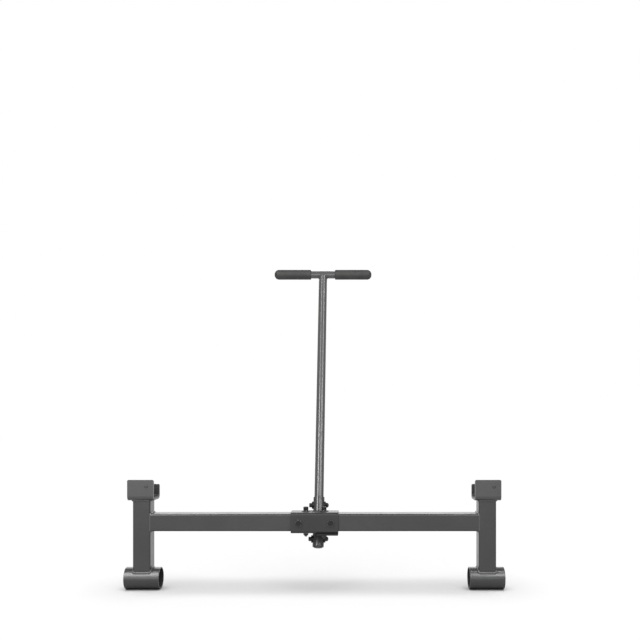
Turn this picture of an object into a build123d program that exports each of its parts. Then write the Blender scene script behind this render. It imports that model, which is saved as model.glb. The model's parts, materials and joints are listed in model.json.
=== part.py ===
import os
from math import cos, hypot, radians, sin, sqrt, tan

from build123d import *

# Deadlift jack: two posts on round rocker feet, a bar saddle on each post, a bolted crossmember, a T lever.
# X runs to the right along the barbell, Y runs away from the lifter's side, Z is up, lengths are millimetres.
# The origin lies on the floor, midway between the feet, under the posts' centre plane.

# Frame
post_spacing = 1000.0
frame_tube_width = 50.8
frame_tube_wall = 3.0
frame_tube_inner_radius = 2.0
cross_axis_height = 196.5
cross_tube_end_gap = 3.0

# Rocker feet
foot_diameter = 63.5
foot_wall = 3.2
foot_length = 101.6
foot_edge_radius = 0.8

# Bar saddles
saddle_underside_height = 261.0
saddle_length = 75.0
saddle_depth = 76.0
saddle_steel = 5.0
saddle_inner_bend_radius = 8.0
saddle_front_height = 60.0
saddle_rear_drop = 18.0
saddle_corner_radius = 4.0

# Saddle liners and the rivets that hold them
liner_thickness = 4.0
liner_top_drop = 1.5
rivet_offset_x = 17.0
rivet_below_edge = 19.0
rivet_shank_diameter = 5.0
rivet_head_diameter = 9.5
rivet_head_height = 1.8
rivet_flange_height = 1.2
rivet_recess_depth = 2.0
rivet_clearance = 0.2

# Centre sleeve over the two crossmember halves
sleeve_wall = 4.5
sleeve_inner_radius = 3.0
sleeve_clearance = 0.5
sleeve_length = 137.0
packing_plate_thickness = 6.0
packing_plate_width = 63.0
packing_plate_edge_margin = 0.5
packing_plate_rear_setback = 5.0
packing_plate_corner_cut = 2.0

# Frame bolts, front to back
frame_bolt_diameter = 10.0
frame_bolt_end_margin = 22.0
frame_bolt_head_width = 17.0
frame_bolt_head_height = 6.4
frame_bolt_nut_height = 10.0
frame_washer_diameter = 20.0
frame_washer_thickness = 2.0

# Clamping screws, top to bottom through the sleeve
clamp_screw_pitch = 20.0
clamp_washer_diameter = 24.0
clamp_washer_thickness = 1.6
spring_washer_diameter = 14.8
spring_washer_thickness = 2.5
spring_washer_slit = 2.0

# Cap screws shared by the sleeve and the lever socket
screw_diameter = 8.0
screw_head_diameter = 13.0
screw_head_height = 8.0
screw_socket_width = 6.0
screw_socket_depth = 4.0
screw_nut_width = 13.0
screw_nut_height = 8.0
bolt_hole_clearance = 1.0
thread_clearance = 0.1
thread_end_length = 3.0
socket_thread_end_length = 1.0

# Lever socket and its cheeks
lever_lean = 22.0
lever_offset_x = 8.0
socket_wall = 2.6
socket_clearance = 0.25
socket_length = 150.0
socket_below_sleeve = 47.6
socket_fit_gap = 0.5
socket_screw_margin = 23.5
cheek_thickness = 5.0
cheek_offset = 11.0
saddle_washer_diameter = 22.0
saddle_washer_thickness = 4.0

# Lever and T handle
lever_diameter = 28.0
lever_wall = 2.0
lever_length = 936.0
lever_top_setback = 5.0
t_bar_diameter = 25.4
t_bar_wall = 2.0
t_bar_length = 314.0
grip_wall = 3.8
grip_length = 124.0
grip_end_wall = 8.0
grip_end_radius = 15.0
grip_mouth_radius = 2.0
plug_depth = 14.0
plug_cap_height = 2.5
plug_wall = 1.6

# Weld beads
frame_bead_radius = 4.0
saddle_bead_radius = 4.0
socket_bead_radius = 3.0
t_bead_size = 3.0
t_bead_cap = 2.0

# Shares of a small part's own size
head_edge_share = 1 / 8
screw_tip_share = 1 / 10
nut_edge_share = 1 / 12
nut_collar_height_share = 0.3
nut_collar_radius_share = 0.44
dome_share = 0.8
bead_crown_share = 0.8
bead_toe_share = 0.35

# Places that follow from the sizes above
left_side = -1
right_side = 1
frame_half = frame_tube_width / 2
frame_outer_radius = frame_tube_inner_radius + frame_tube_wall
post_inner_x = post_spacing / 2 - frame_half
foot_radius = foot_diameter / 2
post_height = saddle_underside_height - foot_radius
cross_length = post_inner_x - cross_tube_end_gap / 2
saddle_half_depth = saddle_depth / 2
saddle_front_top = saddle_underside_height + saddle_front_height
saddle_rear_top = saddle_front_top - saddle_rear_drop
saddle_inner_y = saddle_half_depth - saddle_steel
sleeve_inner_width = frame_tube_width + 2 * sleeve_clearance
sleeve_outer_width = sleeve_inner_width + 2 * sleeve_wall
sleeve_outer_radius = sleeve_inner_radius + sleeve_wall
sleeve_axis_height = cross_axis_height - sleeve_clearance
sleeve_half = sleeve_outer_width / 2
sleeve_top = sleeve_axis_height + sleeve_half
sleeve_bottom = sleeve_axis_height - sleeve_half
packing_plate_x = sleeve_length / 2 - packing_plate_edge_margin - packing_plate_width / 2
packing_plate_depth = sleeve_outer_width - packing_plate_rear_setback
frame_bolt_offset_x = sleeve_length / 2 - frame_bolt_end_margin
clamp_screw_offset_x = frame_bolt_offset_x - clamp_screw_pitch
frame_bolt_hole = frame_bolt_diameter + bolt_hole_clearance
screw_hole = screw_diameter + bolt_hole_clearance
lever_radius = lever_diameter / 2
socket_radius = lever_radius + socket_clearance + socket_wall
socket_diameter = 2 * socket_radius
t_bar_radius = t_bar_diameter / 2
grip_radius = t_bar_radius + grip_wall
cheek_low = sleeve_bottom + sleeve_outer_radius
cheek_high = sleeve_top - sleeve_outer_radius
lean_sin = sin(radians(lever_lean))
lean_cos = cos(radians(lever_lean))
lean_tan = tan(radians(lever_lean))

# The leaning socket just clears the sleeve's rounded lower rear corner, whose arc has this centre.
corner_y = sleeve_half - sleeve_outer_radius
corner_z = sleeve_bottom + sleeve_outer_radius
socket_to_corner = socket_radius + socket_fit_gap + sleeve_outer_radius
socket_base_z = sleeve_bottom - socket_below_sleeve
socket_base_y = corner_y + (socket_to_corner + (socket_base_z - corner_z) * lean_sin) / lean_cos
socket_screw_places = {"lower": socket_screw_margin, "upper": socket_length - socket_screw_margin}
hexagon_corner_ratio = 2 / sqrt(3)

# The lever's own frame: origin on the socket's lower end, local Z up the lever, local X along the frame's X.
lever_frame = Plane(
    origin=(lever_offset_x, socket_base_y, socket_base_z),
    x_dir=(1, 0, 0),
    z_dir=(0, lean_sin, lean_cos),
)


def post_x(side):
    """X of a post's axis."""
    return side * post_spacing / 2


def lever_axis_y(height):
    """Y of the lever's axis at a height above the floor."""
    return socket_base_y + (height - socket_base_z) * lean_tan


def rod(radius, length, origin, direction):
    """A solid cylinder that starts at the origin point and runs along the direction."""
    return Plane(origin=origin, z_dir=direction) * extrude(Circle(radius), length)


def square_section(width, corner):
    """A square with rounded corners, centred on its own origin."""
    return RectangleRounded(width, width, corner)


def square_tube(width, wall, inner_radius, length, plane):
    """Rounded square tube along the plane's normal."""
    outer = square_section(width, inner_radius + wall)
    inner = square_section(width - 2 * wall, inner_radius)
    return extrude(plane * (outer - inner), length)


def round_tube(diameter, wall, length):
    """Round tube standing on its own origin along local Z."""
    ring = Circle(diameter / 2) - Circle(diameter / 2 - wall)
    return extrude(ring, length)


def straight_bead(start, end, radius):
    """Round-ended weld bead between two points."""
    run = Vector(*end) - Vector(*start)
    core = rod(radius, run.length, start, run)
    return core + Pos(*start) * Sphere(radius) + Pos(*end) * Sphere(radius)


def fused(shapes):
    """All shapes of a list joined into one."""
    whole = shapes[0]
    for shape in shapes[1:]:
        whole = whole + shape
    return whole


def hexagon_prism(width, height, corner_cut):
    """Hexagonal prism standing on its own origin, with its corners turned off at the top."""
    prism = extrude(RegularPolygon(width / 2, 6, major_radius=False), height)
    turned = extrude(Circle(width / 2 * hexagon_corner_ratio), height)
    rim = turned.edges().sort_by(Axis.Z)[-1]
    return prism & chamfer(rim, corner_cut, corner_cut * 2)


def hexagon_bolt(diameter, length, head_width, head_height):
    """Hexagon head above the origin, shank below it along local -Z."""
    head = hexagon_prism(head_width, head_height, head_height * head_edge_share)
    shank = Pos(0, 0, -length) * extrude(Circle(diameter / 2), length)
    tip = shank.edges().sort_by(Axis.Z)[0]
    return head + chamfer(tip, diameter * screw_tip_share)


def cap_screw(diameter, length):
    """Socket cap head above the origin, shank below it along local -Z."""
    head = extrude(Circle(screw_head_diameter / 2), screw_head_height)
    head = fillet(head.edges().sort_by(Axis.Z)[-1], screw_head_height * head_edge_share)
    key = RegularPolygon(screw_socket_width / 2, 6, major_radius=False)
    head -= Pos(0, 0, screw_head_height - screw_socket_depth) * extrude(key, screw_socket_depth)
    shank = Pos(0, 0, -length) * extrude(Circle(diameter / 2), length)
    tip = shank.edges().sort_by(Axis.Z)[0]
    return head + chamfer(tip, diameter * screw_tip_share)


def locking_nut(diameter, width, height):
    """Nut with a round insert collar, standing on its own origin, bore cleared for the thread."""
    collar_height = height * nut_collar_height_share
    body_height = height - collar_height
    body = hexagon_prism(width, body_height, height * nut_edge_share)
    collar = Pos(0, 0, body_height) * extrude(Circle(width * nut_collar_radius_share), collar_height)
    collar = fillet(collar.edges().sort_by(Axis.Z)[-1], collar_height / 2)
    bore = extrude(Circle(diameter / 2 + thread_clearance), height)
    return body + collar - bore


def washer(bore, outer, thickness):
    """Flat washer standing on its own origin."""
    return extrude(Circle(outer / 2) - Circle(bore / 2), thickness)


def spring_washer(bore, outer, thickness, slit):
    """Split ring standing on its own origin, open towards local -Y."""
    opening = Pos(0, -outer / 2, thickness / 2) * Box(slit, outer, thickness)
    return washer(bore, outer, thickness) - opening


def foot_tube(side):
    """Open round tube along X that the jack rocks on."""
    start = Plane.YZ.offset(post_x(side) - foot_length / 2)
    tube = Pos(0, 0, foot_radius) * (start * round_tube(foot_diameter, foot_wall, foot_length))
    rims = tube.edges().filter_by(GeomType.CIRCLE)
    return fillet(rims, foot_edge_radius)


def foot_blank(side):
    """Solid cylinder on the foot's outside, for cutting what is welded to it."""
    start = (post_x(side) - foot_length, 0, foot_radius)
    return rod(foot_radius, 2 * foot_length, start, (1, 0, 0))


def post_blank(side):
    """Solid prism on the post's outside, for cutting the weld beads."""
    base = Plane(origin=(post_x(side), 0, foot_radius))
    return extrude(base * square_section(frame_tube_width, frame_outer_radius), post_height)


def post(side):
    """Upright tube, coped over the foot and cut square under the saddle."""
    base = Plane(origin=(post_x(side), 0, foot_radius))
    tube = square_tube(frame_tube_width, frame_tube_wall, frame_tube_inner_radius, post_height, base)
    return tube - foot_blank(side)


def foot_weld(side):
    """Bead along the cope, reaching as far up the post as out over the foot, with a rounded crown."""
    base = Plane(origin=(post_x(side), 0, foot_radius))
    bead_width = frame_tube_width + 2 * frame_bead_radius
    outline = square_section(bead_width, frame_outer_radius + frame_bead_radius)
    around_post = extrude(base * outline, post_height)
    start = (post_x(side) - foot_length, 0, foot_radius)
    around_foot = rod(foot_radius + frame_bead_radius, 2 * foot_length, start, (1, 0, 0))
    bead = around_post & around_foot
    crown = bead.faces().sort_by(Axis.Z)[-1].edges()
    return fillet(crown, frame_bead_radius * bead_crown_share) - post_blank(side) - foot_blank(side)


def cross_plane(side):
    """Plane at a crossmember half's end in the sleeve, facing its post."""
    start_x = side * cross_tube_end_gap / 2
    return Plane(origin=(start_x, 0, cross_axis_height), x_dir=(0, 1, 0), z_dir=(side, 0, 0))


def cross_blank(side):
    """Solid prism on the crossmember half's outside."""
    return extrude(cross_plane(side) * square_section(frame_tube_width, frame_outer_radius), cross_length)


def frame_bolt_cutter(side):
    """Clearance hole for one frame bolt, front to back."""
    start = (side * frame_bolt_offset_x, -sleeve_outer_width, sleeve_axis_height)
    return rod(frame_bolt_hole / 2, 2 * sleeve_outer_width, start, (0, 1, 0))


def clamp_screw_cutter(side):
    """Clearance hole for one clamping screw, top to bottom."""
    start = (side * clamp_screw_offset_x, 0, sleeve_axis_height - sleeve_outer_width)
    return rod(screw_hole / 2, 2 * sleeve_outer_width, start, (0, 0, 1))


def cross_tube(side):
    """One half of the crossmember, from its post into the centre sleeve."""
    start = cross_plane(side)
    tube = square_tube(frame_tube_width, frame_tube_wall, frame_tube_inner_radius, cross_length, start)
    return tube - frame_bolt_cutter(side) - clamp_screw_cutter(side)


def bead_round(section, radius):
    """Bead that follows a section's outline."""
    path = section.face().outer_wire()
    return sweep(Plane(origin=path @ 0, z_dir=path % 0) * Circle(radius), path=path)


def cross_weld(side):
    """Bead all round the crossmember's end, ground flush with the front and rear faces."""
    joint = Plane(origin=(side * post_inner_x, 0, cross_axis_height), x_dir=(0, 1, 0), z_dir=(side, 0, 0))
    bead = bead_round(joint * square_section(frame_tube_width, frame_outer_radius), frame_bead_radius)
    between_faces = joint * Box(frame_tube_width, 2 * frame_tube_width, frame_tube_width)
    return (bead & between_faces) - post_blank(side) - cross_blank(side)


def u_profile(outer_half, underside, front_top, rear_top, thickness, inner_radius):
    """Bent strip seen along X: open upwards, with a lower rear leg."""
    outer_radius = inner_radius + thickness
    inner_half = outer_half - thickness
    tall = max(front_top, rear_top) - underside
    outer = Pos(0, underside + tall) * Rectangle(2 * outer_half, 2 * tall)
    outer = fillet(outer.vertices().sort_by(Axis.Y)[:2], outer_radius)
    inner = Pos(0, underside + thickness + tall) * Rectangle(2 * inner_half, 2 * tall)
    inner = fillet(inner.vertices().sort_by(Axis.Y)[:2], inner_radius)
    front_cut = Pos(-outer_half, front_top + tall) * Rectangle(2 * outer_half, 2 * tall)
    rear_cut = Pos(outer_half, rear_top + tall) * Rectangle(2 * outer_half, 2 * tall)
    return outer - inner - front_cut - rear_cut


def u_strip(side, profile, corner_radius):
    """Profile drawn in YZ and run along the saddle's length, with rounded upper corners."""
    start = Plane.YZ.offset(post_x(side) - saddle_length / 2)
    strip = extrude(start * profile, saddle_length)
    half_way = (saddle_underside_height + saddle_rear_top) / 2
    upper = [edge for edge in strip.edges().filter_by(Axis.Y) if edge.center().Z > half_way]
    return fillet(upper, corner_radius)


def rivet_places(side):
    """Rivet axis point on the outside of each leg, and the way it points into the saddle."""
    x = post_x(side) + rivet_offset_x
    front = (x, -saddle_half_depth, saddle_front_top - rivet_below_edge)
    rear = (x, saddle_half_depth, saddle_rear_top - rivet_below_edge)
    return [(front, (0, 1, 0)), (rear, (0, -1, 0))]


def rivet_reach():
    """Distance from the saddle's outside to the bottom of the recess in the liner."""
    return saddle_steel + liner_thickness - rivet_recess_depth


def saddle(side):
    """Bent steel saddle that the bar drops into, lower at the rear."""
    profile = u_profile(
        saddle_half_depth,
        saddle_underside_height,
        saddle_front_top,
        saddle_rear_top,
        saddle_steel,
        saddle_inner_bend_radius,
    )
    body = u_strip(side, profile, saddle_corner_radius)
    for point, inward in rivet_places(side):
        body -= rod(rivet_shank_diameter / 2 + rivet_clearance, 2 * saddle_steel, point, inward)
    return body


def saddle_liner(side):
    """Plastic liner that follows the inside of the saddle and takes the bar."""
    profile = u_profile(
        saddle_inner_y,
        saddle_underside_height + saddle_steel,
        saddle_front_top - liner_top_drop,
        saddle_rear_top - liner_top_drop,
        liner_thickness,
        saddle_inner_bend_radius - liner_thickness,
    )
    body = u_strip(side, profile, saddle_corner_radius)
    for point, inward in rivet_places(side):
        reach = saddle_steel + liner_thickness
        body -= rod(rivet_shank_diameter / 2 + rivet_clearance, reach, point, inward)
        recess_start = Vector(*point) + Vector(*inward) * rivet_reach()
        body -= rod(rivet_head_diameter / 2 + rivet_clearance, rivet_recess_depth, recess_start, inward)
    return body


def liner_rivets(side):
    """Domed rivets with a flat flange sunk in the liner, one in each leg."""
    rivets = []
    for point, inward in rivet_places(side):
        outward = Vector(*inward) * -1
        head = extrude(Circle(rivet_head_diameter / 2), rivet_head_height)
        head = fillet(head.edges().sort_by(Axis.Z)[-1], rivet_head_height * dome_share)
        body = Plane(origin=point, z_dir=outward) * head
        body += rod(rivet_shank_diameter / 2, rivet_reach(), point, inward)
        flange_start = Vector(*point) + Vector(*inward) * rivet_reach()
        body += rod(rivet_head_diameter / 2, rivet_flange_height, flange_start, inward)
        rivets.append(body)
    return rivets


def saddle_weld(side):
    """Bead around the post's top under the saddle."""
    base = Plane(origin=(post_x(side), 0, saddle_underside_height))
    bead = bead_round(base * square_section(frame_tube_width, frame_outer_radius), saddle_bead_radius)
    above = base * extrude(Rectangle(2 * saddle_length, 2 * saddle_depth), 2 * saddle_bead_radius)
    return bead - above - post_blank(side)


def sleeve_plane():
    """Plane at the sleeve's left end, facing right."""
    return Plane(origin=(-sleeve_length / 2, 0, sleeve_axis_height), x_dir=(0, 1, 0), z_dir=(1, 0, 0))


def centre_sleeve():
    """Square sleeve over both crossmember halves, drilled for the bolts."""
    body = square_tube(sleeve_outer_width, sleeve_wall, sleeve_inner_radius, sleeve_length, sleeve_plane())
    for side in (left_side, right_side):
        body = body - frame_bolt_cutter(side) - clamp_screw_cutter(side)
    return body


def packing_plate():
    """Flat plate under the sleeve's right half, held by the right clamping screw."""
    plate = Box(packing_plate_width, packing_plate_depth, packing_plate_thickness)
    plate = chamfer(plate.edges().filter_by(Axis.Z), packing_plate_corner_cut)
    centre_y = -packing_plate_rear_setback / 2
    centre_z = sleeve_bottom - packing_plate_thickness / 2
    return Pos(packing_plate_x, centre_y, centre_z) * plate - clamp_screw_cutter(right_side)


def frame_bolt_parts(side):
    """Hexagon bolt, its two washers and the locking nut behind the sleeve."""
    x = side * frame_bolt_offset_x
    front = Plane(origin=(x, -sleeve_half, sleeve_axis_height), z_dir=(0, -1, 0))
    rear = Plane(origin=(x, sleeve_half, sleeve_axis_height), z_dir=(0, 1, 0))
    grip = sleeve_outer_width + 2 * frame_washer_thickness
    length = grip + frame_bolt_nut_height + thread_end_length
    bolt = hexagon_bolt(frame_bolt_diameter, length, frame_bolt_head_width, frame_bolt_head_height)
    disc = washer(frame_bolt_hole, frame_washer_diameter, frame_washer_thickness)
    nut = locking_nut(frame_bolt_diameter, frame_bolt_head_width, frame_bolt_nut_height)
    return {
        "bolt": front * (Pos(0, 0, frame_washer_thickness) * bolt),
        "washers": [front * disc, rear * disc],
        "nut": rear * (Pos(0, 0, frame_washer_thickness) * nut),
    }


def clamp_screw_parts(side):
    """Cap screw and spring washer from above, a wide washer at each end and the locking nut below."""
    x = side * clamp_screw_offset_x
    under = packing_plate_thickness if side == right_side else 0
    top = Plane(origin=(x, 0, sleeve_top), z_dir=(0, 0, 1))
    bottom = Plane(origin=(x, 0, sleeve_bottom - under), z_dir=(0, 0, -1))
    under_head = clamp_washer_thickness + spring_washer_thickness
    grip = under_head + sleeve_outer_width + under + clamp_washer_thickness
    screw = cap_screw(screw_diameter, grip + screw_nut_height + thread_end_length)
    disc = washer(screw_hole, clamp_washer_diameter, clamp_washer_thickness)
    ring = spring_washer(screw_hole, spring_washer_diameter, spring_washer_thickness, spring_washer_slit)
    nut = locking_nut(screw_diameter, screw_nut_width, screw_nut_height)
    return {
        "screw": top * (Pos(0, 0, under_head) * screw),
        "washers": [top * disc, top * (Pos(0, 0, clamp_washer_thickness) * ring), bottom * disc],
        "nut": bottom * (Pos(0, 0, clamp_washer_thickness) * nut),
    }


def socket_screw_cutter(place):
    """Clearance hole across the socket and the lever, in the lever's own frame."""
    return rod(screw_hole / 2, 2 * socket_diameter, (-socket_diameter, 0, place), (1, 0, 0))


def lever_socket():
    """Tube that holds the lever, leaning back behind the sleeve."""
    body = round_tube(socket_diameter, socket_wall, socket_length)
    for place in socket_screw_places.values():
        body -= socket_screw_cutter(place)
    return lever_frame * body


def socket_blank():
    """Solid cylinder on the socket's outside, for cutting what is welded to it."""
    return lever_frame * extrude(Circle(socket_radius), socket_length)


def socket_cheek(side):
    """Wedge plate from the sleeve's rear face to the leaning socket."""
    outline = Polyline(
        (sleeve_half, cheek_low),
        (lever_axis_y(cheek_low), cheek_low),
        (lever_axis_y(cheek_high), cheek_high),
        (sleeve_half, cheek_high),
        close=True,
    )
    start = Plane.YZ.offset(lever_offset_x + side * cheek_offset - cheek_thickness / 2)
    return extrude(start * make_face(outline), cheek_thickness) - socket_blank()


def sleeve_blank():
    """Solid prism on the sleeve's outside."""
    return extrude(sleeve_plane() * square_section(sleeve_outer_width, sleeve_outer_radius), sleeve_length)


def socket_welds():
    """Beads down the outside of both cheeks, and one along the sleeve's lower rear corner."""
    neighbours = fused([sleeve_blank(), socket_blank(), socket_cheek(left_side), socket_cheek(right_side)])
    beads = []
    for side in (left_side, right_side):
        x = lever_offset_x + side * (cheek_offset + cheek_thickness / 2)
        low_end = (x, sleeve_half, cheek_low)
        high_end = (x, sleeve_half, cheek_high)
        beads.append(straight_bead(low_end, high_end, socket_bead_radius))
    touch = sleeve_outer_radius + socket_fit_gap / 2
    touch_y = corner_y + touch * lean_cos
    touch_z = corner_z - touch * lean_sin
    left_end = (lever_offset_x - cheek_offset, touch_y, touch_z)
    right_end = (lever_offset_x + cheek_offset, touch_y, touch_z)
    beads.append(straight_bead(left_end, right_end, socket_bead_radius))
    return [bead - neighbours for bead in beads]


def saddle_washers(place):
    """Round pads with one face hollowed to fit the socket, one on each side."""
    pads = []
    reach = socket_radius + saddle_washer_thickness
    for side in (left_side, right_side):
        pad = rod(saddle_washer_diameter / 2, reach, (0, 0, place), (side, 0, 0))
        pad -= extrude(Circle(socket_radius), socket_length)
        pad -= socket_screw_cutter(place)
        pads.append(lever_frame * pad)
    return pads


def socket_screw_parts(place):
    """Cap screw from the left through pads, socket and lever, with its locking nut on the right."""
    seat = socket_radius + saddle_washer_thickness
    left = Plane(origin=(-seat, 0, place), x_dir=(0, 1, 0), z_dir=(-1, 0, 0))
    right = Plane(origin=(seat, 0, place), x_dir=(0, 1, 0), z_dir=(1, 0, 0))
    screw = cap_screw(screw_diameter, 2 * seat + screw_nut_height + socket_thread_end_length)
    nut = locking_nut(screw_diameter, screw_nut_width, screw_nut_height)
    return {"screw": lever_frame * (left * screw), "nut": lever_frame * (right * nut)}


def t_bar_blank(radius, length):
    """Solid cylinder along the T bar's axis, in the lever's own frame."""
    return rod(radius, length, (-length / 2, 0, lever_length), (1, 0, 0))


def lever_blank():
    """Solid cylinder on the lever's outside, in its own frame."""
    return extrude(Circle(lever_radius), lever_length - lever_top_setback)


def lever_tube():
    """Lever from the socket's lower end to the T bar, coped at the top."""
    body = round_tube(lever_diameter, lever_wall, lever_length - lever_top_setback)
    body -= t_bar_blank(t_bar_radius, t_bar_length)
    for place in socket_screw_places.values():
        body -= socket_screw_cutter(place)
    return lever_frame * body


def lever_end_plug():
    """Push-in plug with a thin domed cap that closes the lever's lower end."""
    stem = round_tube(lever_diameter - 2 * lever_wall, plug_wall, plug_depth)
    cap = Pos(0, 0, -plug_cap_height) * extrude(Circle(lever_radius), plug_cap_height)
    cap = fillet(cap.edges().sort_by(Axis.Z)[0], plug_cap_height * dome_share)
    return lever_frame * (stem + cap)


def t_bar():
    """Cross tube of the handle."""
    body = t_bar_blank(t_bar_radius, t_bar_length) - t_bar_blank(t_bar_radius - t_bar_wall, t_bar_length)
    return lever_frame * body


def t_bar_weld():
    """Fillet bead that follows the cope: low in the crotches under the T bar, high at front and rear."""
    low = lever_length - t_bar_radius - 2 * t_bead_size
    high = lever_length - lever_top_setback + t_bead_cap
    around_lever = Pos(0, 0, low) * extrude(Circle(lever_radius + t_bead_size), high - low)
    around_t_bar = t_bar_blank(t_bar_radius + t_bead_size, t_bar_length)
    bead = (around_lever & around_t_bar) - t_bar_blank(t_bar_radius, t_bar_length) - lever_blank()
    toes = [
        edge for edge in bead.edges().filter_by(GeomType.BSPLINE)
        if hypot((edge @ 0).X, (edge @ 0).Y) > lever_radius + t_bead_size / 2
    ]
    return lever_frame * fillet(toes, t_bead_size * bead_toe_share)


def grip(side):
    """Moulded hand grip with a closed domed end, pushed on over the T bar."""
    mouth_x = t_bar_length / 2 + grip_end_wall - grip_length
    body = extrude(Circle(grip_radius), grip_length)
    body = fillet(body.edges().sort_by(Axis.Z)[-1], grip_end_radius)
    body = fillet(body.edges().sort_by(Axis.Z)[0], grip_mouth_radius)
    body -= extrude(Circle(t_bar_radius), grip_length - grip_end_wall)
    mouth = Plane(origin=(side * mouth_x, 0, lever_length), x_dir=(0, 1, 0), z_dir=(side, 0, 0))
    return lever_frame * (mouth * body)


def save(name, shapes):
    """Write one node; a list becomes a group of separate solids."""
    shape = Compound(children=shapes) if isinstance(shapes, list) else shapes
    export_step(shape, os.path.join("parts", name + ".step"))


def build():
    os.makedirs("parts", exist_ok=True)
    frame_washers = []
    clamp_washers = []
    for side, word in ((left_side, "left"), (right_side, "right")):
        save(word + "_foot_tube", foot_tube(side))
        save(word + "_foot_weld", foot_weld(side))
        save(word + "_post", post(side))
        save(word + "_cross_tube", cross_tube(side))
        save(word + "_cross_weld", cross_weld(side))
        save(word + "_saddle", saddle(side))
        save(word + "_saddle_weld", saddle_weld(side))
        save(word + "_saddle_liner", saddle_liner(side))
        save(word + "_liner_rivets", liner_rivets(side))
        frame_bolt = frame_bolt_parts(side)
        save(word + "_frame_bolt", frame_bolt["bolt"])
        save(word + "_frame_nut", frame_bolt["nut"])
        frame_washers += frame_bolt["washers"]
        clamp_screw = clamp_screw_parts(side)
        save(word + "_clamp_screw", clamp_screw["screw"])
        save(word + "_clamp_nut", clamp_screw["nut"])
        clamp_washers += clamp_screw["washers"]
        save(word + "_socket_cheek", socket_cheek(side))
        save(word + "_grip", grip(side))
    save("frame_bolt_washers", frame_washers)
    save("clamp_screw_washers", clamp_washers)
    save("centre_sleeve", centre_sleeve())
    save("packing_plate", packing_plate())
    save("lever_socket", lever_socket())
    save("socket_welds", socket_welds())
    for word, place in socket_screw_places.items():
        save(word + "_saddle_washers", saddle_washers(place))
        socket_screw = socket_screw_parts(place)
        save(word + "_socket_screw", socket_screw["screw"])
        save(word + "_socket_nut", socket_screw["nut"])
    save("lever_tube", lever_tube())
    save("lever_end_plug", lever_end_plug())
    save("t_bar", t_bar())
    save("t_bar_weld", t_bar_weld())


build()
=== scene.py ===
import json
import math

import bpy
from mathutils import Matrix, Vector


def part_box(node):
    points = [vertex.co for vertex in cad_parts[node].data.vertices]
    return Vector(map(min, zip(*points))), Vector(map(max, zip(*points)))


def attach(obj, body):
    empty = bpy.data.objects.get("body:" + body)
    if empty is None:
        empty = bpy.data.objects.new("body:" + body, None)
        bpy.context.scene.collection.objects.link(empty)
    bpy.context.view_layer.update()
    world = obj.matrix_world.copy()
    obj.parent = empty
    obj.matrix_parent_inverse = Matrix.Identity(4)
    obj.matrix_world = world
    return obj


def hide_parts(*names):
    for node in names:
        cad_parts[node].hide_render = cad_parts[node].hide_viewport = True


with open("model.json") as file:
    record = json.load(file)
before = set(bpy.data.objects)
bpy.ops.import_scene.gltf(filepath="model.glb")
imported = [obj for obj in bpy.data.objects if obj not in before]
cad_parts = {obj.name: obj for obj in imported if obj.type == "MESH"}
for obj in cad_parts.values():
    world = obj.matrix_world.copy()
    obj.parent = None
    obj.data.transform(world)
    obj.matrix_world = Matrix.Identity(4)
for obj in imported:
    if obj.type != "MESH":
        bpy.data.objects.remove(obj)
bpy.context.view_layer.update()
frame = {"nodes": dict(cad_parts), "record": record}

# Everything is in metres and in the CAD frame: X to the right from post to post, Y to the rear, Z up.
MM = 0.001
SIDES = {"left": -1, "right": 1}
X_AXIS = Vector((1, 0, 0))
Y_AXIS = Vector((0, 1, 0))
Z_AXIS = Vector((0, 0, 1))


# Node trees

BEVEL_SAMPLES = 6
SHELTER_SAMPLES = 8


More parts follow.
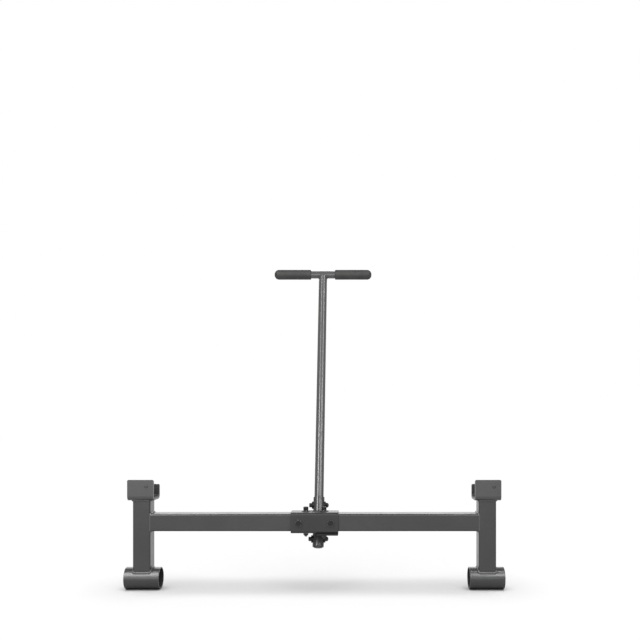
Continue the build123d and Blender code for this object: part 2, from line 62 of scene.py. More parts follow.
class Graph:
    """A material with short calls for adding and joining its nodes."""

    def __init__(self, name, metallic=0.0, specular=0.5):
        self.material = bpy.data.materials.new(name)
        self.material.use_nodes = True
        self.tree = self.material.node_tree
        self.shader = self.tree.nodes["Principled BSDF"]
        self.shader.inputs["Metallic"].default_value = metallic
        self.shader.inputs["Specular IOR Level"].default_value = specular
        self.place = self.add("ShaderNodeTexCoord").outputs["Object"]

    def put(self, node, key, value):
        """Links an input of a node to a socket, or sets it to a number or colour."""
        if isinstance(value, bpy.types.NodeSocket):
            self.tree.links.new(value, node.inputs[key])
        else:
            node.inputs[key].default_value = value

    def add(self, kind, settings=(), inputs=()):
        node = self.tree.nodes.new(kind)
        for key, value in dict(settings).items():
            setattr(node, key, value)
        for key, value in dict(inputs).items():
            self.put(node, key, value)
        return node

    def noise(self, grain, detail=3.0, roughness=0.5, stretch=None):
        """Noise whose features are about as large as the grain, in metres."""
        place = self.place
        if stretch:
            mapping = self.add("ShaderNodeMapping", inputs={"Vector": place, "Scale": stretch})
            place = mapping.outputs["Vector"]
        inputs = {"Vector": place, "Scale": 1 / grain, "Detail": detail, "Roughness": roughness}
        return self.add("ShaderNodeTexNoise", inputs=inputs).outputs["Fac"]

    def cells(self, size):
        """Cells of about that size, in metres, dark at their centres."""
        inputs = {"Vector": self.place, "Scale": 1 / size}
        return self.add("ShaderNodeTexVoronoi", inputs=inputs).outputs["Distance"]

    def spread(self, value, low, high, to_low=0.0, to_high=1.0):
        """Maps a value's range to another, clamped."""
        inputs = {"Value": value, "From Min": low, "From Max": high, "To Min": to_low, "To Max": to_high}
        return self.add("ShaderNodeMapRange", inputs=inputs).outputs["Result"]

    def math(self, operation, first, second):
        return self.add("ShaderNodeMath", {"operation": operation}, {0: first, 1: second}).outputs[0]

    def blend(self, share, first, second):
        """Colour that goes from the first to the second as the share goes from 0 to 1."""
        node = self.add("ShaderNodeMix", {"data_type": "RGBA"}, {"Factor": share, "A": first, "B": second})
        return node.outputs["Result"]

    def own_normal(self):
        return self.add("ShaderNodeNewGeometry").outputs["Normal"]

    def rounded_normal(self, radius):
        """The surface's normal as if its edges were rounded to the radius."""
        return self.add("ShaderNodeBevel", {"samples": BEVEL_SAMPLES}, {"Radius": radius}).outputs["Normal"]

    def edges(self, radius):
        """1 along the edges of the shape, 0 on its faces."""
        inputs = {0: self.rounded_normal(radius), 1: self.own_normal()}
        likeness = self.add("ShaderNodeVectorMath", {"operation": "DOT_PRODUCT"}, inputs)
        on_face, on_edge = 0.995, 0.86
        return self.spread(likeness.outputs["Value"], on_face, on_edge)

    def sheltered(self, reach, alone, open_share, closed_share):
        """1 where something near covers the surface, 0 in the open; alone counts only the piece itself."""
        settings = {"samples": SHELTER_SAMPLES, "only_local": alone}
        node = self.add("ShaderNodeAmbientOcclusion", settings, {"Distance": reach})
        return self.spread(node.outputs["AO"], open_share, closed_share)

    def upward(self):
        """1 where the surface faces up, 0 where it faces down or sideways."""
        parts = self.add("ShaderNodeSeparateXYZ", inputs={"Vector": self.own_normal()})
        return self.spread(parts.outputs["Z"], 0.2, 1.0)

    def bumps(self, layers, edge_radius=0.4 * MM):
        """Layered bumps, each a height and its depth in metres, over slightly rounded edges."""
        normal = self.rounded_normal(edge_radius)
        for height, depth in layers:
            inputs = {"Height": height, "Distance": depth, "Strength": 1.0, "Normal": normal}
            normal = self.add("ShaderNodeBump", inputs=inputs).outputs["Normal"]
        return normal

    def finish(self, colour, roughness, normal):
        self.put(self.shader, "Base Color", colour)
        self.put(self.shader, "Roughness", roughness)
        self.put(self.shader, "Normal", normal)
        return self.material


def grey(level, warmth=0.0):
    """Linear grey, a little warmer or cooler."""
    return (level * (1 + warmth), level, level * (1 - warmth), 1.0)


# Materials

def powder_coat(name, level, gloss, specular=0.5):
    """Dark grey powder coat: orange peel, fine grains, lighter edges, thin dust on top, and painted shade in
    hollows and creases.
    """
    g = Graph(name, specular=specular)
    peel = g.noise(2.6 * MM, detail=2.0)
    grain = g.noise(0.5 * MM, detail=1.0)
    cloud = g.noise(140 * MM, detail=4.0, roughness=0.6)
    speck = g.spread(g.cells(1.1 * MM), 0.0, 0.16, 1.0, 0.0)
    colour = g.blend(cloud, grey(level * 0.9), grey(level * 1.1))
    colour = g.blend(g.spread(grain, 0.35, 0.7, 0.0, 0.35), colour, grey(level * 1.45))
    colour = g.blend(g.math("MULTIPLY", speck, 0.25), colour, grey(level * 2.2))

    broken = g.spread(g.noise(9 * MM, detail=5.0, roughness=0.7), 0.42, 0.62)
    wear = g.math("MULTIPLY", g.edges(0.7 * MM), g.spread(broken, 0.0, 1.0, 0.25, 0.6))
    colour = g.blend(wear, colour, grey(level * 2.4))
    settled = g.spread(g.noise(30 * MM, detail=6.0), 0.4, 0.75, 0.02, 0.07)
    colour = g.blend(g.math("MULTIPLY", g.upward(), settled), colour, grey(0.3, 0.02))

    # Painted shade: the colour darkens inside the piece's own bores, where the coat also runs thin, and in
    # creases where other parts come near.
    bore = g.sheltered(30 * MM, alone=True, open_share=0.55, closed_share=0.15)
    crease_shade = g.sheltered(7 * MM, alone=False, open_share=0.85, closed_share=0.4)
    colour = g.blend(g.math("MAXIMUM", bore, crease_shade), colour, grey(level * 0.2))

    rough = g.spread(cloud, 0.3, 0.7, gloss - 0.04, gloss + 0.05)
    rough = g.math("ADD", rough, g.spread(grain, 0.3, 0.7, -0.03, 0.05))
    rough = g.math("ADD", rough, g.math("MULTIPLY", bore, 0.5))
    rough = g.math("ADD", rough, g.math("MULTIPLY", crease_shade, 0.25))
    return g.finish(colour, rough, g.bumps([(peel, 0.06 * MM), (grain, 0.018 * MM)]))


def black_oxide():
    """Oiled black steel of bolts and nuts, with brighter corners, partly rubbed wear and partly a painted
    highlight, and fine turning marks.
    """
    g = Graph("black_oxide", metallic=0.3, specular=0.22)
    cloud = g.noise(3 * MM, detail=5.0, roughness=0.65)
    marks = g.noise(0.3 * MM, detail=2.0)
    colour = g.blend(cloud, grey(0.005, 0.04), grey(0.016))
    # Painted highlight: the corners are made bright, standing in for glints on the heads as well as for
    # rubbed wear.
    rubbed_glint = g.math("MULTIPLY", g.edges(0.8 * MM), g.spread(g.noise(1.5 * MM), 0.35, 0.65, 0.3, 0.9))
    colour = g.blend(rubbed_glint, colour, grey(0.32, 0.02))
    rough = g.spread(cloud, 0.3, 0.7, 0.28, 0.46)
    return g.finish(colour, rough, g.bumps([(marks, 0.008 * MM)], edge_radius=0.15 * MM))


def moulded_plastic(name, level, gloss, grain_size, specular=0.4):
    """Matt moulded plastic with a fine spark-eroded grain and faint scuffs."""
    g = Graph(name, specular=specular)
    grain = g.noise(grain_size, detail=2.0)
    scuff = g.noise(4 * MM, detail=6.0, roughness=0.7, stretch=(0.25, 1.0, 1.0))
    colour = g.blend(g.noise(60 * MM), grey(level * 0.85), grey(level * 1.2))
    colour = g.blend(g.spread(scuff, 0.55, 0.75, 0.0, 0.35), colour, grey(level * 2.6))
    colour = g.blend(g.math("MULTIPLY", g.edges(0.5 * MM), 0.3), colour, grey(level * 2.4))
    rough = g.spread(scuff, 0.35, 0.7, gloss, gloss + 0.14)
    return g.finish(colour, rough, g.bumps([(grain, 0.02 * MM)], edge_radius=0.3 * MM))


def grip_rubber():
    """Dark grey moulded rubber: pebbled skin, paler where hands rub it."""
    g = Graph("grip_rubber", specular=0.35)
    pebble = g.cells(1.3 * MM)
    fine = g.noise(0.35 * MM, detail=2.0)
    rub = g.spread(g.noise(26 * MM, detail=5.0, roughness=0.6), 0.4, 0.68)
    colour = g.blend(rub, grey(0.018), grey(0.025, 0.01))
    colour = g.blend(g.spread(pebble, 0.0, 0.5, 0.25, 0.0), colour, grey(0.014))
    rough = g.spread(rub, 0.0, 1.0, 0.66, 0.56)
    return g.finish(colour, rough, g.bumps([(pebble, 0.05 * MM), (fine, 0.01 * MM)], edge_radius=0.5 * MM))


def pale_floor():
    """Plain pale matt studio floor."""
    g = Graph("pale_floor", specular=0.0)
    cloud = g.noise(0.8, detail=3.0)
    colour = g.blend(cloud, grey(0.85), grey(0.87))
    rough = g.spread(cloud, 0.3, 0.7, 0.8, 0.9)
    return g.finish(colour, rough, g.bumps([(g.noise(4 * MM), 0.01 * MM)]))


frame_coat = powder_coat("frame_coat", level=0.019, gloss=0.23, specular=0.46)
# Painted light: the saddles are the frame's coat made lighter, standing in for the stronger light that falls
# on them up top.
saddle_painted_light_coat = powder_coat("saddle_painted_light_coat", level=0.03, gloss=0.25, specular=0.48)
# Painted shadow: the sleeve is the frame's coat made darker, standing in for a shadow falling on it from
# above.
sleeve_painted_shadow_coat = powder_coat("sleeve_painted_shadow_coat", level=0.013, gloss=0.27, specular=0.36)
lever_coat = powder_coat("lever_coat", level=0.046, gloss=0.18)
socket_coat = powder_coat("socket_coat", level=0.03, gloss=0.27)
plate_coat = powder_coat("plate_coat", level=0.008, gloss=0.36, specular=0.18)
# Painted highlight: the beads' coat is made lighter, standing in for the highlight along their tops.
weld_highlight_coat = powder_coat("weld_highlight_coat", level=0.045, gloss=0.24)
fastener = black_oxide()

MATERIAL_OF_SLOT = {
    "frame_coat": frame_coat,
    "lever_coat": lever_coat,
    "rivet_coat": frame_coat,
    "black_fastener": fastener,
    "washer_plastic": moulded_plastic("washer_plastic", 0.005, 0.4, grain_size=0.5 * MM, specular=0.2),
    "plug_plastic": moulded_plastic("plug_plastic", 0.018, 0.45, grain_size=0.6 * MM),
    "liner_plastic": moulded_plastic("liner_plastic", 0.018, 0.42, grain_size=0.7 * MM),
    "grip_rubber": grip_rubber(),
}

# Shades of the coat on nodes that look lighter or darker than the rest of their slot
COAT_OF_NODE = {
    # Painted light: a lighter shade of the frame coat on the saddles.
    "left_saddle": saddle_painted_light_coat,
    "right_saddle": saddle_painted_light_coat,
    # Painted shadow: a darker shade of the frame coat on the sleeve.
    "centre_sleeve": sleeve_painted_shadow_coat,
    "packing_plate": plate_coat,
    "lever_socket": socket_coat,
}


def dress_cad_nodes():
    """Gives every CAD node the material of its slot, or its own shade of the coat."""
    for part in frame["record"]["subparts"]:
        name = part["node"]
        materials = frame["nodes"][name].data.materials
        materials.clear()
        materials.append(COAT_OF_NODE.get(name, MATERIAL_OF_SLOT[part["material_slot"]]))


# Objects and meshes

def add_object(name, data):
    item = bpy.data.objects.new(name, data)
    bpy.context.scene.collection.objects.link(item)
    return item


def make_piece(name, shape, material, replaced):
    """A smooth mesh piece, written in the CAD frame, that rides on the jack in place of a CAD node."""
    points, faces = shape
    mesh = bpy.data.meshes.new(name)
    mesh.from_pydata([tuple(point) for point in points], [], faces)
    mesh.validate()
    mesh.shade_smooth()
    mesh.materials.append(material)
    piece = add_object(name, mesh)
    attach(piece, "root")
    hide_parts(replaced)
    return piece


def skin(rings, closed_path=False, capped=False):
    """Points and faces of a surface over a row of rings with equally many points."""
    count = len(rings[0])
    points = [point for ring in rings for point in ring]
    faces = []
    for row in range(len(rings) if closed_path else len(rings) - 1):
        here = row * count
        there = (row + 1) % len(rings) * count
        for i in range(count):
            j = (i + 1) % count
            faces.append((here + i, here + j, there + j, there + i))
    if capped:
        faces.append(tuple(reversed(range(count))))
        faces.append(tuple(range((len(rings) - 1) * count, len(rings) * count)))
    return points, faces


def merge(shapes):
    """Several lots of points and faces as one."""
    points, faces = [], []
    for shape_points, shape_faces in shapes:
        faces += [tuple(len(points) + i for i in face) for face in shape_faces]
        points += shape_points
    return points, faces


def centre_of(node):
    low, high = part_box(node)
    return (low + high) / 2


def extent(node, axis):
    """How far a node reaches along one of the frame's axes: its lowest and highest value."""
    low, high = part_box(node)
    return sorted((low.dot(axis), high.dot(axis)))


# Weld beads

BEAD_STEP = 0.55 * MM
RING_POINTS = 14
RIPPLE_PITCH = 2.3 * MM
RIPPLE_SHARE = 0.1
TUBE_CORNER = 5 * MM
POST_BEAD_RADIUS = 3.8 * MM


def ripple(travelled, angle):
    """Share of a bead's radius at a way along it and an angle round it: crescents, on a slow wander."""
    crescent = 0.3 * math.cos(2 * angle)
    crest = abs(math.sin(math.pi * (travelled / RIPPLE_PITCH + crescent))) ** 0.7
    slow_wave, quick_wave = 7 * MM, 3.1 * MM
    wander = 0.03 * math.sin(travelled / slow_wave) + 0.02 * math.sin(travelled / quick_wave + 1)
    return 1 - RIPPLE_SHARE + RIPPLE_SHARE * crest + wander


def end_taper(share):
    """Share of the radius at a share of an open bead's length, which makes its ends blunt and round."""
    thinnest, bluntness = 0.02, 8
    return math.sqrt(max(thinnest, 1 - abs(2 * share - 1) ** bluntness))


def bead(path, outward, radius, closed):
    """Weld bead with crescent ripples, from a point, a direction outward and a radius for each step."""
    rings = []
    travelled = 0.0
    count = len(path)
    for i, point in enumerate(path):
        before = path[i - 1] if closed or i > 0 else point
        after = path[(i + 1) % count] if closed or i < count - 1 else point
        along = (after - before).normalized()
        out = (outward[i] - along * outward[i].dot(along)).normalized()
        up = along.cross(out)
        if i > 0:
            travelled += (point - path[i - 1]).length
        size = radius[i] if closed else radius[i] * end_taper(i / (count - 1))
        ring = []
        for k in range(RING_POINTS):
            angle = 2 * math.pi * k / RING_POINTS
            reach = size * ripple(travelled, angle)
            ring.append(point + out * (reach * math.cos(angle)) + up * (reach * math.sin(angle)))
        rings.append(ring)
    return skin(rings, closed_path=closed, capped=not closed)


def straight_bead(start, end, out, radius):
    """Bead along a line, with tapered ends."""
    steps = max(6, round((end - start).length / BEAD_STEP))
    path = [start.lerp(end, i / steps) for i in range(steps + 1)]
    return bead(path, [out] * len(path), [radius] * len(path), closed=False)


def rounded_square(half_a, half_b, corner, step):
    """Points and outward directions round a rounded rectangle in its own plane."""
    places = []
    turns = ((1, 1, 0), (-1, 1, 90), (-1, -1, 180), (1, -1, 270))
    arc_steps = max(3, round(corner * math.pi / 2 / step))
    for turn, (sign_a, sign_b, start) in enumerate(turns):
        centre = (sign_a * (half_a - corner), sign_b * (half_b - corner))
        for i in range(arc_steps + 1):
            angle = math.radians(start + 90 * i / arc_steps)
            out = (math.cos(angle), math.sin(angle))
            places.append(((centre[0] + corner * out[0], centre[1] + corner * out[1]), out))
        next_a, next_b, next_start = turns[(turn + 1) % 4]
        end, end_out = places[-1]
        angle = math.radians(next_start)
        target = (next_a * (half_a - corner) + corner * math.cos(angle),
                  next_b * (half_b - corner) + corner * math.sin(angle))
        runs = max(1, round(math.dist(target, end) / step))
        for i in range(1, runs):
            share = i / runs
            place = tuple(e + (t - e) * share for e, t in zip(end, target))
            places.append((place, end_out))
    return places


def post_bead(word, weld, height_at):
    """Bead round a post, at a height that depends on the place from front to rear."""
    low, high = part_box(f"{word}_post")
    half = (high.x - low.x) / 2
    centre = (low.x + high.x) / 2
    path, outward = [], []
    for (x, y), out in rounded_square(half, half, TUBE_CORNER, BEAD_STEP):
        path.append(Vector((centre + x, y, height_at(y))))
        outward.append(Vector((out[0], out[1], 0)))
    shape = bead(path, outward, [POST_BEAD_RADIUS] * len(path), closed=True)
    make_piece(f"{word}_{weld}_bead", shape, weld_highlight_coat, f"{word}_{weld}")


def foot_weld(word):
    """Bead along the cope of the post on the round foot."""
    low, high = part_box(f"{word}_foot_tube")
    radius = (high.z - low.z) / 2
    post_bead(word, "foot_weld", lambda y: radius + math.sqrt(radius**2 - y**2))


def saddle_weld(word):
    """Bead round the post's top, under the saddle."""
    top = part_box(f"{word}_post")[1].z
    post_bead(word, "saddle_weld", lambda y: top)


def cross_weld(word, side):
    """Bead round the crossmember's end: full above and below, low in the grooves at front and rear."""
    low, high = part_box(f"{word}_cross_tube")
    half = (high.z - low.z) / 2
    height = (high.z + low.z) / 2
    joint_x = low.x if side < 0 else high.x
    full_radius, groove_radius = 4.0 * MM, 2.7 * MM
    groove_inset, groove_shift = 2.9 * MM, 1.2 * MM
    path, outward, radius = [], [], []
    for (y, z), out in rounded_square(half - groove_inset, half, TUBE_CORNER, BEAD_STEP):
        level = abs(out[1])
        path.append(Vector((joint_x + side * groove_shift * (1 - level), y, height + z)))
        outward.append(Vector((0, out[0], out[1])))
        radius.append(groove_radius + (full_radius - groove_radius) * level)
    shape = bead(path, outward, radius, closed=True)
    make_piece(f"{word}_cross_weld_bead", shape, weld_highlight_coat, f"{word}_cross_weld")


def lever_line():
    """A point on the lever's axis and the direction up it, from the two cross screws."""
    low = centre_of("lower_socket_screw")
    high = centre_of("upper_socket_screw")
    low.x = high.x = centre_of("lever_tube").x
    return low, (high - low).normalized()


def socket_welds():
    """Beads down the cheeks' outsides, and one along the sleeve's lower rear corner."""
    sleeve_low, sleeve_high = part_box("centre_sleeve")
    axis_point, up = lever_line()
    bead_radius = 3.0 * MM
    sleeve_corner = 7.5 * MM
    half_seam = X_AXIS * (11 * MM)
    beads = []
    for word, side in SIDES.items():
        low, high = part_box(f"{word}_socket_cheek")
        x = low.x if side < 0 else high.x
        start = Vector((x, sleeve_high.y, low.z + bead_radius))
        end = Vector((x, sleeve_high.y, high.z - bead_radius))
        beads.append(straight_bead(start, end, Vector((side, 1, 0)), bead_radius))
    arc_centre = Vector((axis_point.x, sleeve_high.y - sleeve_corner, sleeve_low.z + sleeve_corner))
    touch = arc_centre + Vector((0, up.z, -up.y)) * sleeve_corner
    beads.append(straight_bead(touch - half_seam, touch + half_seam, -up, bead_radius))
    make_piece("socket_weld_beads", merge(beads), weld_highlight_coat, "socket_welds")


def t_weld():
    """Bead where the lever meets the T bar, low in the crotches and high at front and rear."""
    bar_low, bar_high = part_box("t_bar")
    bar_radius = (bar_high.z - bar_low.z) / 2
    lever_low, lever_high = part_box("lever_tube")
    lever_radius = (lever_high.x - lever_low.x) / 2
    bar_centre = centre_of("t_bar")
    top = Vector((centre_of("lever_tube").x, bar_centre.y, bar_centre.z))
    up = lever_line()[1]
    back = Vector((0, up.z, -up.y))
    least_drop = 5 * MM
    bead_radius = 2.5 * MM
    steps = round(2 * math.pi * lever_radius / BEAD_STEP)
    path, outward = [], []
    for i in range(steps):
        angle = 2 * math.pi * i / steps
        across = math.copysign(min(abs(lever_radius * math.sin(angle)), bar_radius), math.sin(angle))
        drop = max(math.sqrt(max(0.0, bar_radius**2 - across**2)), least_drop)
        path.append(top + X_AXIS * (lever_radius * math.cos(angle)) + back * across - up * drop)
        outward.append(X_AXIS * math.cos(angle) + back * math.sin(angle))
    shape = bead(path, outward, [bead_radius] * len(path), closed=True)
    make_piece("t_weld_bead", shape, lever_coat, "t_bar_weld")


# Bolts, screws and nuts, drawn along local Z and then placed

ROUND = 72
ANGLES = [2 * math.pi * i / ROUND for i in range(ROUND)]
M8 = {"radius": 4 * MM, "pitch": 1.25 * MM}
M10 = {"radius": 5 * MM, "pitch": 1.5 * MM}
M8_NUT_WIDTH = 13 * MM
M8_HEAD_HEIGHT = 8 * MM
M8_SOCKET_WIDTH = 6 * MM
M8_SOCKET_DEPTH = 4 * MM

# The socket screws have plain M8 heads. The clamping screws have larger heads, and nuts on flanges.
SOCKET_SCREW = {"head_radius": 6.5 * MM}
CLAMP_SCREW = {"head_radius": 7.3 * MM, "head_growth": 1.2 * MM, "flange_radius": 8.4 * MM}

THREAD_CLEARANCE = 0.1 * MM
SHANK_OVERLAP = 0.1 * MM
SHARP_ANGLE = math.radians(25)

# Hexagons have their corners turned off at 30 degrees, from this share of their half width.
CHAMFER = math.tan(math.radians(30))
TURNED_SHARE = 0.96


def polar(reach, angle, z):
    """Point at a distance from local Z, an angle round it and a height."""
    return Vector((reach * math.cos(angle), reach * math.sin(angle), z))


def circle(radius, z):
    return [polar(radius, angle, z) for angle in ANGLES]


def hexagon_ring(width, height_at):
    """Ring on a hexagon with a flat facing +X, at a height that depends on the distance from the axis."""
    sixth = math.pi / 3
    ring = []
    for angle in ANGLES:
        reach = width / 2 / math.cos((angle + sixth / 2) % sixth - sixth / 2)
        ring.append(polar(reach, angle, height_at(reach)))
    return ring


def rounded_rim(radius, rounding, top):
    """Circles over a quarter round, from the side at the radius to the top."""
    steps = 4
    rings = []
    for i in range(steps + 1):
        turn = math.pi / 2 * i / steps
        rings.append(circle(radius - rounding * (1 - math.cos(turn)), top - rounding * (1 - math.sin(turn))))
    return rings


def rod(radius, low, high):
    return skin([circle(radius, low), circle(radius, high)], capped=True)


def hexagon_head(width, low, high):
    """Hexagon with the corners of its top turned off."""
    turned = width / 2 * TURNED_SHARE
    rings = [hexagon_ring(width, lambda reach: low),
             hexagon_ring(width, lambda reach: high - (reach - turned) * CHAMFER),
             circle(turned, high)]
    return skin(rings, capped=True)


def thread(radius, pitch, low, high):
    """Threaded rod between two heights, with a chamfered end at the low one."""
    rows_per_turn = 12
    groove_depth = 0.54 * pitch
    chamfer_depth = 0.7 * pitch
    rows = max(4, round((high - low) / pitch * rows_per_turn))
    rings = []
    for row in range(rows + 1):
        z = low + (high - low) * row / rows
        chamfer = chamfer_depth * (1 - min(1.0, (z - low) / pitch))
        ring = []
        for i, angle in enumerate(ANGLES):
            turn = (z - low) / pitch - i / ROUND
            groove = groove_depth * abs(2 * (turn % 1) - 1)
            ring.append(polar(radius - max(groove, chamfer), angle, z))
        rings.append(ring)
    return skin(rings, capped=True)


def cap_head(radius, height):
    """Knurled cylinder head with a hexagon socket in its top."""
    points_per_flute = 3
    knurl_depth = 0.22 * MM
    knurl_lead = 0.4 * MM
    plain_foot = 0.5 * MM
    rim_round = 0.9 * MM
    mouth_radius = M8_SOCKET_WIDTH / 2 * 1.16
    mouth_depth = 0.25 * MM
    core = radius - knurl_depth

    def fluted(z):
        reaches = [core if i % points_per_flute == 0 else radius for i in range(ROUND)]
        return [polar(reach, angle, z) for reach, angle in zip(reaches, ANGLES)]

    rings = [circle(core, 0), circle(core, plain_foot), fluted(plain_foot + knurl_lead)]
    rings.append(fluted(height - rim_round - knurl_lead))
    rings += rounded_rim(core, rim_round, height)
    rings.append(circle(mouth_radius, height))
    rings.append(hexagon_ring(M8_SOCKET_WIDTH, lambda reach: height - mouth_depth))
    rings.append(hexagon_ring(M8_SOCKET_WIDTH, lambda reach: height - M8_SOCKET_DEPTH))
    return skin(rings, capped=True)


def locking_nut(width, height, bore, flange_radius):
    """Nut with a hexagon body, a flange if it has one, and a rounded collar with the insert's ring inside."""
    body_height = height * 0.72
    collar_radius = width * 0.475
    collar_round = (height - body_height) * 0.8
    insert_radius = (collar_radius + bore) / 2
    insert_top = height - 0.5 * MM
    turned = width / 2 * TURNED_SHARE
    flange_edge = 0.4 * MM
    flange_rim = 1.2 * MM
    if flange_radius:
        rings = [circle(bore, 0), circle(flange_radius - flange_edge, 0)]
        rings += [circle(flange_radius, flange_edge), circle(flange_radius, flange_rim)]
        rings.append(hexagon_ring(width, lambda reach: flange_rim + (flange_radius - reach) * CHAMFER))
    else:
        rings = [circle(bore, 0), circle(turned, 0)]
        rings.append(hexagon_ring(width, lambda reach: (reach - turned) * CHAMFER))
    rings.append(hexagon_ring(width, lambda reach: body_height - (reach - collar_radius) * CHAMFER / 2))
    rings.append(circle(collar_radius, body_height))
    rings += rounded_rim(collar_radius, collar_round, height)
    rings += [circle(insert_radius, height), circle(insert_radius, insert_top), circle(bore, insert_top)]
    return skin(rings + [rings[0]])


def place(shapes, origin, axis, side_axis):
    """Points and faces moved so that local Z runs along the axis and local X along the side axis."""
    points, faces = merge(shapes)
    turn = Matrix((side_axis, axis.cross(side_axis), axis)).transposed()
    return [origin + turn @ point for point in points], faces


def fastener_piece(node, form, shape):
    """Piece for a bolt, screw or nut, with sharp edges kept."""
    piece = make_piece(f"{node}_{form}", shape, fastener, node)
    piece.data.set_sharp_from_angle(angle=SHARP_ANGLE)


def screw_and_nut(screw, nut, axis, side_axis, seat, head, size, nut_width, flange_radius=0.0):
    """Screw along an axis that points to its head, and its locking nut. The seat is a value on the axis."""
    centre = centre_of(screw)
    line = centre - axis * centre.dot(axis)
    tip = extent(screw, axis)[0]
    nut_end, nut_face = extent(nut, axis)
    shank_end = nut_face - seat
    shank = rod(size["radius"], shank_end, SHANK_OVERLAP)
    threaded = thread(**size, low=tip - seat, high=shank_end)
    nut_shape = locking_nut(nut_width, nut_face - nut_end, size["radius"] + THREAD_CLEARANCE, flange_radius)
    screw_shape = place(head + [shank, threaded], line + axis * seat, axis, side_axis)
    fastener_piece(screw, "threaded", screw_shape)
    fastener_piece(nut, "locking", place([nut_shape], line + axis * nut_face, -axis, side_axis))


def frame_bolt(word):
    """Hexagon bolt from the front, with its locking nut behind the sleeve."""
    bolt, nut = f"{word}_frame_bolt", f"{word}_frame_nut"
    low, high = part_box(bolt)
    nut_low, nut_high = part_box(nut)
    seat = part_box("frame_bolt_washers")[0].y
    width = high.x - low.x
    face_radius, face_height = width / 2 * 0.94, 0.5 * MM
    hexagon_low = 0.4 * MM
    head = [hexagon_head(width, hexagon_low, seat - low.y), rod(face_radius, 0, face_height)]
    screw_and_nut(bolt, nut, -Y_AXIS, X_AXIS, -seat, head, M10, nut_high.x - nut_low.x)


def cap_screw(name, axis, side_axis, head_radius, head_growth=0.0, flange_radius=0.0):
    """Socket cap screw along an axis that points to its head, and its locking nut at the other end."""
    screw, nut = f"{name}_screw", f"{name}_nut"
    seat = extent(screw, axis)[1] - M8_HEAD_HEIGHT
    head = [cap_head(head_radius, M8_HEAD_HEIGHT + head_growth)]
    screw_and_nut(screw, nut, axis, side_axis, seat, head, M8, M8_NUT_WIDTH, flange_radius)


# The stage

def studio():
    """Pale floor that the jack stands on."""
    reach = 12.0
    mesh = bpy.data.meshes.new("floor")
    corners = [(-reach, -reach, 0), (reach, -reach, 0), (reach, reach, 0), (-reach, reach, 0)]
    mesh.from_pydata(corners, [], [(0, 1, 2, 3)])
    mesh.materials.append(pale_floor())
    floor = add_object("floor", mesh)
    return floor


def light_only(lamp, state, receiver):
    """Lets a lamp light only the receiver, or all but the receiver."""
    group = bpy.data.collections.new(f"{lamp.name}_receivers")
    group.objects.link(receiver)
    group.collection_objects[0].light_linking.link_state = state
    lamp.light_linking.receiver_collection = group


def soft_box(name, centre, target, width, height, power):
    """Rectangular area light that faces the target."""
    light = bpy.data.lights.new(name, "AREA")
    light.shape = "RECTANGLE"
    light.size = width
    light.size_y = height
    light.energy = power
    lamp = add_object(name, light)
    lamp.location = centre
    lamp.rotation_mode = "QUATERNION"
    lamp.rotation_quaternion = (Vector(target) - Vector(centre)).to_track_quat("-Z", "Y")
    lamp.visible_camera = False
    return lamp


def even_sun(energy, spread_degrees, tilt_degrees):
    """Very soft light from above."""
    light = bpy.data.lights.new("sun", "SUN")
    light.energy = energy
    light.angle = math.radians(spread_degrees)
    lamp = add_object("sun", light)
    lamp.rotation_euler = (math.radians(tilt_degrees), 0, 0)
    return lamp


def sky(level):
    """Even grey light from all round, seen as white behind the jack."""
    world = bpy.data.worlds.new("studio")
    world.use_nodes = True
    bpy.context.scene.world = world
    tree = world.node_tree
    fill = tree.nodes["Background"]
    white = tree.nodes.new("ShaderNodeBackground")
    for background, strength in ((fill, level), (white, 1.0)):
        background.inputs["Color"].default_value = grey(1.0)
        background.inputs["Strength"].default_value = strength
    path = tree.nodes.new("ShaderNodeLightPath")
    mix = tree.nodes.new("ShaderNodeMixShader")
    tree.links.new(path.outputs["Is Camera Ray"], mix.inputs["Fac"])
    tree.links.new(fill.outputs["Background"], mix.inputs[1])
    tree.links.new(white.outputs["Background"], mix.inputs[2])
    tree.links.new(mix.outputs["Shader"], tree.nodes["World Output"].inputs["Surface"])


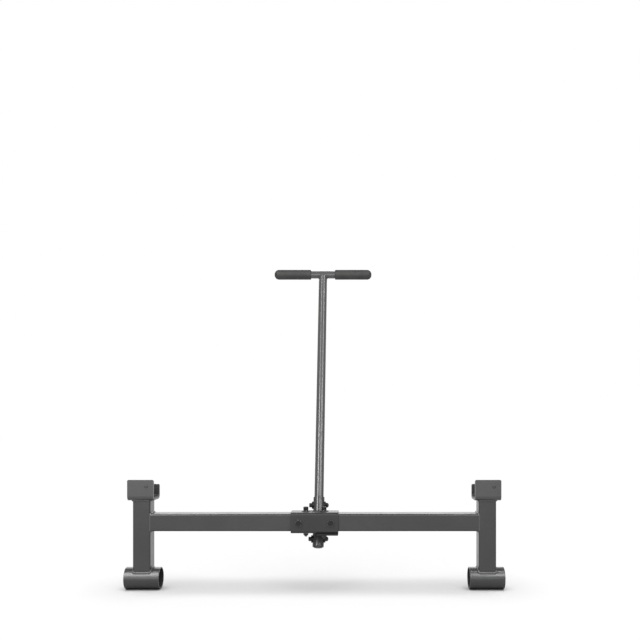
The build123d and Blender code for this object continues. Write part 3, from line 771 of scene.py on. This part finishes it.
def lights(floor):
    """Soft boxes, a tall strip on each side, white cards, and an even sun for the floor alone."""
    lamps = [
        soft_box("box_left", (-1.35, -2.05, 1.95), (-0.5, 0, 0.05), width=0.7, height=1.5, power=42),
        soft_box("box_right", (1.05, -2.05, 1.95), (0.5, 0, 0.05), width=0.5, height=1.5, power=30),
        soft_box("strip_left", (-1.7, -1.9, 3.4), (0, 0.2, 0.7), width=0.5, height=3.8, power=72),
        soft_box("strip_right", (2.2, -1.4, 3.2), (0, 0.2, 0.7), width=0.6, height=4.0, power=88),
        soft_box("card_front", (-0.8, -4.6, 1.25), (0, 0, 0.8), width=5.0, height=2.3, power=108),
        soft_box("card_behind", (0, 5.0, 1.4), (0, 0, 0.2), width=7.0, height=2.8, power=60),
        soft_box("box_rear", (-0.4, 2.9, 2.3), (0, 0.1, 0.3), width=3.2, height=1.3, power=55),
    ]
    for lamp in lamps:
        light_only(lamp, "EXCLUDE", floor)
    light_only(even_sun(2.6, spread_degrees=65, tilt_degrees=6), "INCLUDE", floor)
    sky(0.36)


def camera():
    """Level camera a little to the right of the jack's middle, framed by shifting the lens."""
    picture_pixels = 640
    focal_pixels = 770
    axis_pixel_x, axis_pixel_y = 355, 415
    right_of_centre, in_front, above_floor = 0.117, 2.249, 0.5075
    data = bpy.data.cameras.new("camera")
    data.sensor_width = 36.0
    data.lens = focal_pixels / picture_pixels * data.sensor_width
    data.shift_x = (picture_pixels / 2 - axis_pixel_x) / picture_pixels
    data.shift_y = (axis_pixel_y - picture_pixels / 2) / picture_pixels
    data.clip_start = 0.05
    data.clip_end = 60
    eye = add_object("camera", data)
    eye.location = (right_of_centre, -in_front, above_floor)
    eye.rotation_euler = (math.radians(90), 0, 0)
    bpy.context.scene.camera = eye


dress_cad_nodes()
for word, side in SIDES.items():
    foot_weld(word)
    saddle_weld(word)
    cross_weld(word, side)
    frame_bolt(word)
    cap_screw(f"{word}_clamp", Z_AXIS, Y_AXIS, **CLAMP_SCREW)
for word in ("lower", "upper"):
    cap_screw(f"{word}_socket", -X_AXIS, lever_line()[1], **SOCKET_SCREW)
socket_welds()
t_weld()

lights(studio())
camera()
bpy.context.scene.view_settings.view_transform = "Standard"
